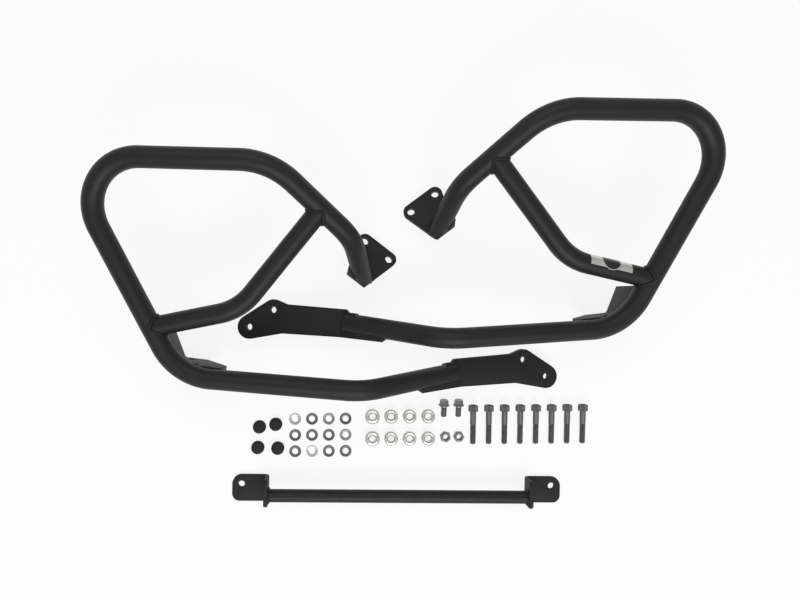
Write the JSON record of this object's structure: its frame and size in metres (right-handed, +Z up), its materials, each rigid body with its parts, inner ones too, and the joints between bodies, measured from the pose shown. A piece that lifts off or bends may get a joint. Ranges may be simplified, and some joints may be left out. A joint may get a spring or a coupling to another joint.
{
  "type": "motorcycle crash bars",
  "caption": "Pair of bent-tube engine crash bars with braces, folded mounting plates and cross bar lugs, laid out with the cross bar and its fitting kit.",
  "frame": {"origin": "centre of the layout's box, on the surface the set lies on", "axes": "+X along the pair from the left bar to the right bar, +Y up the layout away from the cross bar, +Z up"},
  "size_m": [0.7585, 0.5109, 0.1503],
  "materials": {
    "black_powder_coat": "satin black powder coat on welded steel",
    "black_rubber": "matt black moulded rubber",
    "zinc_steel": "zinc plated steel",
    "screw_steel": "grey zinc plated steel",
    "aluminium": "turned aluminium, faintly ringed",
    "bare_plate": "silver label left bare of print"
  },
  "bodies": {
    "root": {"left_loop_tube": "black_powder_coat", "left_brace_tube": "black_powder_coat", "left_upper_plate": "black_powder_coat", "left_lower_bracket": "black_powder_coat", "left_cross_bar_lug": "black_powder_coat", "right_loop_tube": "black_powder_coat", "right_brace_tube": "black_powder_coat", "right_upper_plate": "black_powder_coat", "right_lower_bracket": "black_powder_coat", "right_cross_bar_lug": "black_powder_coat", "cross_bar_tube": "black_powder_coat", "cross_bar_left_tab": "black_powder_coat", "cross_bar_right_tab": "black_powder_coat", "rubber_caps": "black_rubber", "washers": "zinc_steel", "wide_spacers": "aluminium", "narrow_spacers": "aluminium", "flange_bolts": "zinc_steel", "lock_nuts": "zinc_steel", "cap_screws": "screw_steel"}
  },
  "joints": []
}
